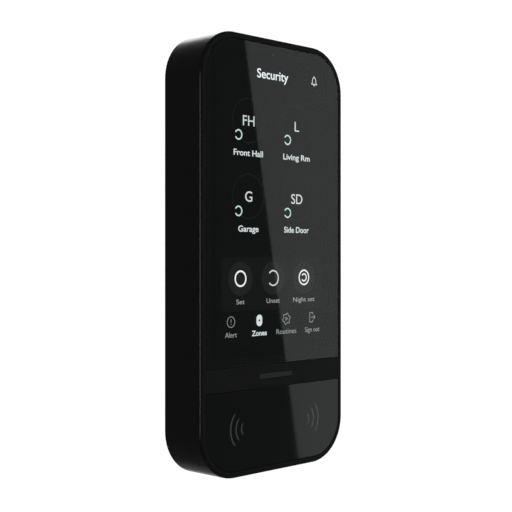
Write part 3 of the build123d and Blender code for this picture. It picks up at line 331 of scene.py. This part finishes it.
@dataclass
class Sketch:
    """A set of flat shapes, x to the right and y up in millimetres, given a small thickness.

    Attributes:
        thickness: how far the shapes stand towards the user.
        mesh: what has been drawn so far, in millimetres.
    """

    thickness: float = 0.02
    mesh: bmesh.types.BMesh = field(default_factory=bmesh.new)

    def _thicken(self, faces: Iterable[bmesh.types.BMFace]) -> None:
        """Gives newly drawn faces the sketch's thickness."""
        pushed = bmesh.ops.extrude_face_region(self.mesh, geom=list(faces), use_keep_orig=True)
        verts = [item for item in pushed["geom"] if isinstance(item, bmesh.types.BMVert)]
        bmesh.ops.translate(self.mesh, verts=verts, vec=(0, 0, self.thickness))

    def arc(self, centre: Point, radius: float, stroke: float, start: float = 0.0, sweep: float = 360.0,
            round_ends: bool = False) -> None:
        """Draws a ring or part of one.

        Args:
            centre: middle of the ring.
            radius: its outer radius.
            stroke: width of the line.
            start: angle where it starts, in degrees, from the right, anticlockwise.
            sweep: how far it goes, in degrees.
            round_ends: puts a round cap on each end.
        """
        turn = math.radians(start)
        way = Vector((math.cos(turn), math.sin(turn), 0))
        middle = Vector((*centre, 0))
        ends = [self.mesh.verts.new(middle + way * r) for r in (radius - stroke, radius)]
        edge = self.mesh.edges.new(ends)
        steps = max(8, int(sweep / 6))
        known = set(self.mesh.faces)
        bmesh.ops.spin(self.mesh, geom=[*ends, edge], cent=middle, axis=(0, 0, 1), angle=math.radians(sweep),
                       steps=steps, use_merge=sweep >= 360)
        self._thicken([face for face in self.mesh.faces if face not in known])
        if round_ends:
            for angle in (start, start + sweep):
                turn = math.radians(angle)
                self.disc((centre[0] + (radius - stroke / 2) * math.cos(turn),
                           centre[1] + (radius - stroke / 2) * math.sin(turn)), stroke / 2, 12)

    def disc(self, centre: Point, radius: float, steps: int = 48) -> None:
        """Draws a filled disc."""
        known = set(self.mesh.faces)
        bmesh.ops.create_circle(self.mesh, cap_ends=True, segments=steps, radius=radius,
                                matrix=Matrix.Translation((*centre, 0)))
        self._thicken([face for face in self.mesh.faces if face not in known])

    def plate(self, centre: Point, size: Point, corner: float, turn: float = 0.0) -> None:
        """Draws a filled rectangle with round corners.

        Args:
            centre: its middle.
            size: width and height.
            corner: corner radius.
            turn: how far it is turned, in degrees.
        """
        known = set(self.mesh.faces)
        place = (Matrix.Translation((*centre, 0)) @ Matrix.Rotation(math.radians(turn), 4, "Z")
                 @ Matrix.Diagonal((size[0] / 2, size[1] / 2, 1, 1)))
        drawn = bmesh.ops.create_grid(self.mesh, x_segments=1, y_segments=1, size=1.0, matrix=place)
        if corner:
            bmesh.ops.bevel(self.mesh, geom=drawn["verts"], offset=corner, offset_type="OFFSET", segments=8,
                            profile=0.5, affect="VERTICES", material=-1)
        self._thicken([face for face in self.mesh.faces if face not in known])

    def window_frame(self, size: Point, corner: float, border: float) -> None:
        """Draws a frame round a window, with its two upper corners rounded.

        Args:
            size: outer width and height.
            corner: outer radius of the upper corners.
            border: width of the frame all round.
        """
        drawn = bmesh.ops.create_grid(self.mesh, x_segments=1, y_segments=1, size=1.0,
                                      matrix=Matrix.Diagonal((size[0] / 2, size[1] / 2, 1, 1)))
        bmesh.ops.bevel(self.mesh, geom=[vert for vert in drawn["verts"] if vert.co.y > 0], offset=corner,
                        offset_type="OFFSET", segments=16, profile=0.5, affect="VERTICES", material=-1)
        whole = list(self.mesh.faces)
        ring = bmesh.ops.inset_individual(self.mesh, faces=whole, thickness=border, use_even_offset=True)
        bmesh.ops.delete(self.mesh, geom=whole, context="FACES")
        self._thicken(ring["faces"])

    def stroke(self, points: list[Point], width: float, closed: bool = False) -> None:
        """Draws a line of one width through the points, as straight bars with round joints.

        Args:
            points: where the line goes.
            width: width of the line.
            closed: joins the last point to the first.
        """
        chain = points + points[:1] if closed else points
        for (x0, y0), (x1, y1) in zip(chain, chain[1:]):
            run = math.hypot(x1 - x0, y1 - y0)
            turn = math.degrees(math.atan2(y1 - y0, x1 - x0))
            self.plate(((x0 + x1) / 2, (y0 + y1) / 2), (run, width), 0.0, turn)
        for point in points:
            self.disc(point, width / 2, 12)

    def text(self, words: str, centre: Point, cap: float, width: float, weight: float = 0.0) -> None:
        """Sets a short plain word.

        Args:
            words: what it says.
            centre: middle of the word's width, and the middle of its capitals' height.
            cap: height of a capital.
            width: width of the whole word.
            weight: how much each line is thickened, as a share of the letter size.
        """
        curve = bpy.data.curves.new("word", "FONT")
        curve.body = words
        curve.align_x = "CENTER"
        curve.offset = weight
        curve.resolution_u = 6
        curve.extrude = 0.5
        holder = bpy.data.objects.new("word", curve)
        bpy.context.scene.collection.objects.link(holder)
        bpy.context.view_layer.update()
        flat = bpy.data.meshes.new_from_object(holder.evaluated_get(bpy.context.evaluated_depsgraph_get()))
        left = min(vert.co.x for vert in flat.vertices)
        right = max(vert.co.x for vert in flat.vertices)
        flat.transform(Matrix.Translation((centre[0], centre[1] - cap / 2, self.thickness / 2))
                       @ Matrix.Diagonal((width / (right - left), cap / CAP_SHARE, self.thickness, 1))
                       @ Matrix.Translation((-(left + right) / 2, 0, 0)))
        self.mesh.from_mesh(flat)
        bpy.data.objects.remove(holder)
        bpy.data.curves.remove(curve)
        bpy.data.meshes.remove(flat)

    def piece(self, name: str, depth: float, middle: float, finish: bpy.types.Material,
              body: str = "keypad") -> bpy.types.Object:
        """Makes the sketch an object that faces the user.

        Args:
            name: the piece's name.
            depth: distance of its back from the wall, in millimetres.
            middle: height of the sketch's own origin, in metres.
            finish: its material.
            body: the body it rides on.

        Returns:
            The new object.
        """
        tidy(self.mesh)
        bmesh.ops.transform(self.mesh, verts=self.mesh.verts,
                            matrix=Matrix.Translation((0, -depth * MM, middle))
                            @ Matrix.Rotation(math.radians(90), 4, "X") @ Matrix.Scale(MM, 4))
        data = bpy.data.meshes.new(name)
        self.mesh.to_mesh(data)
        self.mesh.free()
        data.materials.append(finish)
        made = bpy.data.objects.new(name, data)
        bpy.context.scene.collection.objects.link(made)
        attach(made, body)
        LOG.info("%s: %d faces on %s", name, len(data.polygons), body)
        return made


# ------------------------------------------------------------------ the display's picture
def around(centre: Point, points: Iterable[Point]) -> list[Point]:
    """Moves points drawn round the origin so that they lie round a centre."""
    return [(centre[0] + x, centre[1] + y) for x, y in points]


# Outlines round their own middles. The bell is closed, and the gear goes once round its teeth.
BELL = [(-1.75, -1.3), (-1.15, -0.5), (-1.15, 0.5), (-0.8, 1.4), (0, 1.75), (0.8, 1.4), (1.15, 0.5),
        (1.15, -0.5), (1.75, -1.3)]
DOOR = [(0.4, 1.3), (0.4, 2.1), (-1.7, 2.1), (-1.7, -2.1), (0.4, -2.1), (0.4, -1.3)]
ARROW_SHAFT = [(-0.7, 0), (1.9, 0)]
ARROW_HEAD = [(1.1, 0.8), (1.9, 0), (1.1, -0.8)]
PLAY_MARK = [(-0.4, 0.7), (0.75, 0), (-0.4, -0.7)]
GEAR_TIP, GEAR_ROOT, GEAR_STEPS = 2.5, 1.85, 24


def gear_outline() -> list[Point]:
    """Points round a gear with six teeth."""
    turns = [math.radians(15.0 * step + 7.5) for step in range(GEAR_STEPS)]
    reach = [GEAR_TIP if step % 4 in (0, 1) else GEAR_ROOT for step in range(GEAR_STEPS)]
    return [(r * math.cos(turn), r * math.sin(turn)) for turn, r in zip(turns, reach)]


@dataclass
class DisplayPicture:
    """What the display shows: a title line, four zone rings, a card of three buttons and four tabs.

    All sizes are in millimetres from the middle of the display glass, and every word is a plain one.

    Attributes:
        depth: distance of the picture's plane from the wall.
        middle: height of the display's middle, in metres.
        layer: distance between two layers of the picture.
        title: the title's word, its middle, its capitals' height and its width.
        zones: each zone's initials and their width, and its caption and its width.
        buttons: each button's word and its width.
        tabs: each tab's word and its width.
        active: number of the tab that is on.
    """

    depth: float
    middle: float
    layer: float = 0.03
    title: tuple[str, Point, float, float] = ("Security", (-0.1, 56.1), 3.8, 19.6)
    bell: Point = (26.9, 56.5)
    zone_x: float = 15.15
    zone_rows: tuple[float, float] = (35.1, 3.05)
    zone_radius: float = 9.5
    state_offset: Point = (-6.0, -6.3)
    caption_drop: float = 13.7
    zones: tuple[tuple[str, float, str, float], ...] = (
        ("FH", 7.0, "Front Hall", 17.6), ("L", 2.9, "Living Rm", 17.4),
        ("G", 4.3, "Garage", 12.2), ("SD", 7.3, "Side Door", 16.2))
    card_size: Point = (62.7, 22.8)
    card_y: float = -34.0
    button_x: float = 19.95
    button_y: float = -31.7
    button_disc: float = 7.2
    button_ring: float = 3.5
    buttons: tuple[tuple[str, float], ...] = (("Set", 4.9), ("Unset", 8.3), ("Night set", 14.2))
    label_y: float = -41.45
    tab_xs: tuple[float, ...] = (-25.5, -8.55, 8.5, 25.6)
    tab_y: float = -49.7
    tab_label_y: float = -55.1
    tabs: tuple[tuple[str, float], ...] = (
        ("Alert", 6.9), ("Zones", 9.2), ("Routines", 12.8), ("Sign out", 9.8))
    active: int = 1

    def _show(self, sketch: Sketch, name: str, light: Light, level: int = 0) -> None:
        """Places one layer of the picture, higher levels nearer the user."""
        depth = self.depth + level * self.layer
        sketch.piece(name, depth, self.middle, light.finish().material())

    def _zone_spots(self) -> list[Point]:
        """Middle of each zone ring, left to right and top to bottom."""
        return [(side * self.zone_x, row) for row in self.zone_rows for side in (-1, 1)]

    def top_line(self) -> None:
        """Title word and bell."""
        words, bell = Sketch(), Sketch()
        words.text(*self.title, 0.012)
        self._show(words, "picture_title", Light.TITLE)
        line = 0.36
        x, y = self.bell
        bell.stroke(around(self.bell, BELL), line, True)
        bell.arc((x, y - 1.5), 0.62, 0.34, 200, 140, True)
        bell.stroke([(x, y + 1.8), (x, y + 2.2)], line)
        self._show(bell, "picture_bell", Light.BRIGHT)

    def zone_grid(self) -> None:
        """Zone rings with their initials, captions and state rings."""
        rings, gaps, states, initials, captions = (Sketch() for _ in range(5))
        for (x, y), (letters, letters_width, caption, caption_width) in zip(self._zone_spots(), self.zones):
            rings.arc((x, y), self.zone_radius, 0.22)
            spot = (x + self.state_offset[0], y + self.state_offset[1])
            gaps.disc(spot, 3.1)
            states.arc(spot, 2.25, 0.6, 215, 290, True)
            initials.text(letters, (x + 0.1, y - 0.05), 4.25, letters_width, 0.004)
            captions.text(caption, (x, y - self.caption_drop), 2.45, caption_width, 0.016)
        self._show(rings, "picture_zone_rings", Light.OUTLINE)
        self._show(gaps, "picture_state_gaps", Light.DARK, 1)
        self._show(states, "picture_state_rings", Light.MINT, 2)
        self._show(initials, "picture_zone_initials", Light.INITIAL, 1)
        self._show(captions, "picture_zone_captions", Light.BRIGHT)

    def button_card(self) -> None:
        """Card with the three round buttons and their words."""
        card, discs, rings, open_rings, words = (Sketch() for _ in range(5))
        card.plate((0, self.card_y), self.card_size, 1.2)
        for place, (word, width) in zip((-1, 0, 1), self.buttons):
            x = place * self.button_x
            discs.disc((x, self.button_y), self.button_disc)
            words.text(word, (x, self.label_y), 2.0, width)
        rings.arc((-self.button_x, self.button_y), self.button_ring, 0.72)
        open_rings.arc((0, self.button_y), self.button_ring, 0.6, 225, 270, True)
        rings.arc((self.button_x, self.button_y), self.button_ring, 0.66)
        rings.arc((self.button_x, self.button_y), 1.85, 0.6, 225, 270, True)
        self._show(card, "picture_card", Light.CARD)
        self._show(discs, "picture_button_discs", Light.DISC, 1)
        self._show(rings, "picture_button_rings", Light.BRIGHT, 2)
        self._show(open_rings, "picture_open_ring", Light.SOFT, 2)
        self._show(words, "picture_button_words", Light.LABEL, 1)

    def tab_bar(self) -> None:
        """Four tabs: three quiet ones and the active one."""
        icons, active, hole, words, strong = (Sketch() for _ in range(5))
        alert, pill, gear, door = ((x, self.tab_y) for x in self.tab_xs)
        icons.arc(alert, 2.35, 0.28)
        icons.stroke(around(alert, [(0, 1.0), (0, -0.1)]), 0.3)
        icons.disc((alert[0], alert[1] - 0.95), 0.2, 12)
        active.plate(pill, (3.5, 4.9), 1.7)
        for bar in ([(-0.5, 0), (0.5, 0)], [(0, -0.5), (0, 0.5)]):
            hole.stroke(around(pill, bar), 0.34)
        icons.stroke(around(gear, gear_outline()), 0.3, True)
        icons.stroke(around(gear, PLAY_MARK), 0.28, True)
        for line in (DOOR, ARROW_SHAFT, ARROW_HEAD):
            icons.stroke(around(door, line), 0.32)
        for number, (word, width) in enumerate(self.tabs):
            spot = (self.tab_xs[number], self.tab_label_y)
            if number == self.active:
                strong.text(word, spot, 2.15, width, 0.022)
            else:
                words.text(word, spot, 2.15, width)
        self._show(icons, "picture_tab_icons", Light.ICON)
        self._show(active, "picture_active_tab", Light.ACTIVE)
        self._show(hole, "picture_active_mark", Light.DARK, 1)
        self._show(words, "picture_tab_words", Light.LABEL)
        self._show(strong, "picture_active_word", Light.ACTIVE)

    def build(self) -> None:
        """Makes the whole picture."""
        self.top_line()
        self.zone_grid()
        self.button_card()
        self.tab_bar()


# ------------------------------------------------------------------ printed marks
@dataclass
class ReaderMarks:
    """Contactless marks on the reader panel: three arcs each side that radiate outwards.

    Attributes:
        front: depth of the panel's front face, in millimetres.
        middle: height of the marks' middle, in metres.
        sunk: how much of the print's thickness lies below the panel's face.
    """

    front: float
    middle: float
    centre_x: float = 17.9
    radii: tuple[float, ...] = (9.6, 6.45, 3.25)
    half_angle: float = 42.0
    stroke: float = 0.7
    sunk: float = 0.015

    def build(self) -> None:
        """Makes both sets of arcs as one print."""
        marks = Sketch(thickness=0.02)
        for side, middle_angle in ((-1, 180.0), (1, 0.0)):
            for radius in self.radii:
                marks.arc((side * self.centre_x, 0.0), radius + self.stroke / 2, self.stroke,
                          middle_angle - self.half_angle, 2 * self.half_angle, True)
        marks.piece("contactless_marks", self.front - self.sunk, self.middle, MARK_INK.material())


@dataclass
class PrintedBorder:
    """Black printed mask behind the display glass, with the lit window and the light sensor's eye.

    Attributes:
        low: lowest corner of the glass, in metres.
        high: highest corner of the glass, in metres.
        rear: depth of the glass's rear face, in millimetres.
        edge: distance from the glass's edge to the mask's.
        gap: distance from the glass's rear face to the mask's back, and eye_gap to the eye's back.
    """

    low: Vector
    high: Vector
    rear: float
    border: float = 7.6
    corner: float = 16.3
    edge: float = 0.6
    gap: float = 0.02
    ink: float = 0.01
    eye_radius: float = 0.75
    eye_drop: float = 3.6
    eye_gap: float = 0.008

    def build(self) -> None:
        """Makes the border as one ring that follows the glass's round upper corners, and the eye."""
        width = (self.high.x - self.low.x) / MM - 2 * self.edge
        height = (self.high.z - self.low.z) / MM - 2 * self.edge
        middle = (self.high.z + self.low.z) / 2
        mask = Sketch(thickness=self.ink)
        mask.window_frame((width, height), self.corner, self.border)
        mask.piece("printed_border", self.rear - self.gap, middle, INK.material())
        eye = Sketch(thickness=self.ink)
        eye.disc((0, height / 2 + self.edge - self.eye_drop), self.eye_radius, 32)
        eye.piece("sensor_eye", self.rear - self.eye_gap, middle, STATUS.material())


@dataclass
class LabelPrint:
    """Plain bars printed on the rear label, in place of any words.

    Attributes:
        rear: depth of the label's outer face, in millimetres.
        middle: height of the label's middle, in metres.
        centre_x: the label's middle across, in millimetres.
    """

    rear: float
    middle: float
    centre_x: float
    ink: float = 0.02
    rows: int = 5
    row_start: Point = (-16.0, 7.0)
    row_pitch: float = 2.6
    row_length: float = 16.0
    bars: int = 8
    bar_start: float = 7.0
    bar_pitch: float = 1.1
    bar_height: float = 9.0

    def build(self) -> None:
        """Makes the print: rows on the left and a block of upright bars on the right."""
        drawn = Sketch(thickness=self.ink)
        left, top = self.row_start
        for row in range(self.rows):
            length = self.row_length - 2.5 * (row % 3)
            drawn.plate((self.centre_x + left + length / 2, top - self.row_pitch * row), (length, 0.7), 0.2)
        for step in range(self.bars):
            drawn.plate((self.centre_x + self.bar_start + self.bar_pitch * step, 0.0),
                        (0.3 + 0.2 * (step % 3), self.bar_height), 0.0)
        drawn.piece("label_print", self.rear - self.ink / 2, self.middle, LABEL_INK.material())


# ------------------------------------------------------------------ frame, stage and camera
def dress(frame: dict[str, Any]) -> None:
    """Gives every CAD node the finish of its material slot.
    """
    glass = cover_glass()
    for part in frame["record"]["subparts"]:
        node = frame["nodes"][part["node"]]
        slot = part["material_slot"]
        finish = glass if slot == "cover_glass" else SLOT_FINISH[slot].material()
        node.data.materials.clear()
        node.data.materials.append(finish)
        LOG.info("%s: %s", part["node"], finish.name)


def stage_plane(name: str, corners: list[Place], colour: str, strength: float,
                **seen_by: bool) -> bpy.types.Object:
    """Adds one flat sheet of the studio, which isn't part of the object.

    Args:
        name: its name.
        corners: its corners in metres, in order round it.
        colour: sRGB hex colour of its light.
        strength: how strongly it shines.
        **seen_by: ray visibility flags, such as camera=False.

    Returns:
        The sheet.
    """
    mesh = bmesh.new()
    mesh.faces.new([mesh.verts.new(corner) for corner in corners])
    data = bpy.data.meshes.new(name)
    mesh.to_mesh(data)
    mesh.free()
    made = bpy.data.materials.new(name)
    made.use_nodes = True
    skin = made.node_tree.nodes["Principled BSDF"]
    skin.inputs["Base Color"].default_value = (0.0, 0.0, 0.0, 1.0)
    skin.inputs["Roughness"].default_value = 1.0
    skin.inputs["Specular IOR Level"].default_value = 0.0
    skin.inputs["Emission Color"].default_value = linear(colour)
    skin.inputs["Emission Strength"].default_value = strength
    data.materials.append(made)
    sheet = bpy.data.objects.new(name, data)
    bpy.context.scene.collection.objects.link(sheet)
    for kind, seen in seen_by.items():
        setattr(sheet, "visible_" + kind, seen)
    return sheet


@dataclass
class Studio:
    """Pale floor, soft boxes and a white surround, with the camera level in front and to the left.

    Attributes:
        floor_z: height of the floor.
        camera_place: where the camera stands.
        camera_yaw: how far it turns right from looking straight at the wall, in degrees.
        seen_strength: brightness of the surround behind the panel.
        ambient: brightness of the surround as a light.
    """

    floor_z: float
    floor_reach: float = 6.0
    camera_place: Place = (-0.3412, -0.3435, -0.0005)
    camera_yaw: float = 45.67
    lens_mm: float = 76.25
    sensor_mm: float = 36.0
    seen_strength: float = 1.05
    ambient: float = 0.075

    def surround(self) -> None:
        """White to the eye, dim to everything else, so that black surfaces stay black."""
        world = bpy.data.worlds.new("surround")
        bpy.context.scene.world = world
        world.use_nodes = True
        tree = world.node_tree
        tree.nodes.clear()
        ray = add_node(tree, "LightPath")
        seen = add_node(tree, "Background", Color=WHITE, Strength=self.seen_strength)
        lighting = add_node(tree, "Background", Color=WHITE, Strength=self.ambient)
        both = add_node(tree, "MixShader", in_0=ray.outputs["Is Camera Ray"], in_1=lighting.outputs[0],
                        in_2=seen.outputs[0])
        add_node(tree, "OutputWorld", Surface=both.outputs[0])

    def floor(self) -> None:
        """A wide pale floor below the panel, clear from its underside so that it hides nothing."""
        reach, height = self.floor_reach, self.floor_z
        sheet = stage_plane("pale_floor", [(-reach, -reach, height), (reach, -reach, height),
                                           (reach, reach, height), (-reach, reach, height)],
                            "#fafafa", 1.1, glossy=False, diffuse=False)
        tree = sheet.active_material.node_tree
        side = add_node(tree, "NewGeometry")
        clear = add_node(tree, "BsdfTransparent")
        both = add_node(tree, "MixShader", in_0=side.outputs["Backfacing"],
                        in_1=tree.nodes["Principled BSDF"].outputs[0], in_2=clear.outputs[0])
        tree.links.new(both.outputs[0], tree.nodes["Material Output"].inputs[0])

    def mirror_panels(self) -> None:
        """Sheets that the panel mirrors.

        A tall bright one stands to the right, and its slanted edge shows as a diagonal in the glass, with a
        dim one behind it. A narrow strip on the left draws the bright line down the soft front edge. Three
        more stand behind the panel and show only where its corners turn away.
        """
        y = -0.986
        stage_plane("window_sheet", [(0.947, y, 0.362), (1.35, y, 0.362), (1.35, y, -0.362),
                                     (1.0816, y, -0.360)], "#fbfefd", 0.65, camera=False)
        y -= 0.02
        stage_plane("dim_sheet", [(-0.6, y, 0.8), (1.8, y, 0.8), (1.8, y, -0.8), (-0.6, y, -0.8)],
                    "#f6fbfa", 0.12, camera=False)
        stage_plane("edge_strip", [(-1.3, -0.5, -0.33), (-1.35, -0.15, -0.33), (-1.35, -0.15, 0.33),
                                   (-1.3, -0.5, 0.33)], "#ffffff", 3.0, camera=False, diffuse=False)
        backdrops = {"upper_backdrop": (1.15, 0.0, 2.6), "lower_backdrop": (-0.1, -0.85, 0.8),
                     "dim_backdrop": (-0.85, -2.4, 0.2)}
        for name, (top, bottom, strength) in backdrops.items():
            stage_plane(name, [(0.3, 1.6, top), (1.6, 0.3, top), (1.6, 0.3, bottom), (0.3, 1.6, bottom)],
                        "#ffffff", strength, camera=False, diffuse=False)

    def soft_box(self, name: str, place: Place, power: float, side: float = 1.2) -> None:
        """Adds a square soft box aimed at the panel, which lights it but isn't mirrored in it.

        Args:
            name: its name.
            place: where it stands.
            power: its power in watts.
            side: its width and height.
        """
        data = bpy.data.lights.new(name, "AREA")
        data.shape = "RECTANGLE"
        data.size = data.size_y = side
        data.energy = power
        lamp = bpy.data.objects.new(name, data)
        bpy.context.scene.collection.objects.link(lamp)
        lamp.location = place
        lamp.rotation_euler = (-Vector(place)).to_track_quat("-Z", "Y").to_euler()
        lamp.visible_camera = False
        lamp.visible_glossy = False

    def camera(self) -> None:
        """Puts the camera level with the panel's middle, looking past its left edge."""
        data = bpy.data.cameras.new("camera")
        data.lens = self.lens_mm
        data.sensor_width = self.sensor_mm
        data.clip_start = 0.01
        made = bpy.data.objects.new("camera", data)
        bpy.context.scene.collection.objects.link(made)
        made.location = self.camera_place
        made.rotation_euler = (math.radians(90), 0, math.radians(-self.camera_yaw))
        bpy.context.scene.camera = made

    def build(self) -> None:
        """Sets up the whole studio."""
        bpy.context.scene.view_settings.view_transform = "Standard"
        self.camera()
        self.surround()
        self.floor()
        self.mirror_panels()
        self.soft_box("key_box", (1.1, -1.0, 1.7), 6.0)
        self.soft_box("back_box", (0.5, 1.7, 0.9), 24.0)


def compress_spring(frame: dict[str, Any]) -> None:
    """Gives the tamper spring a mesh of its own.
    """
    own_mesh(frame["nodes"]["tamper_spring"])


def main() -> None:
    """Builds the looks round the frame, piece by piece."""
    logging.basicConfig(level=logging.INFO, format="%(message)s")
    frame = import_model()
    case_low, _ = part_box("front_housing")
    Studio(floor_z=case_low.z - FLOOR_DROP).build()
    dress(frame)
    low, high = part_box("display_glass")
    DisplayPicture(-low.y / MM - PICTURE_DROP, (low.z + high.z) / 2).build()
    PrintedBorder(low, high, -high.y / MM).build()
    low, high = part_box("reader_panel")
    ReaderMarks(-low.y / MM, (low.z + high.z) / 2 + MARKS_RISE * MM).build()
    low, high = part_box("rear_label")
    LabelPrint(-high.y / MM, (low.z + high.z) / 2, (low.x + high.x) / 2 / MM).build()
    compress_spring(frame)


if __name__ == "__main__":
    main()
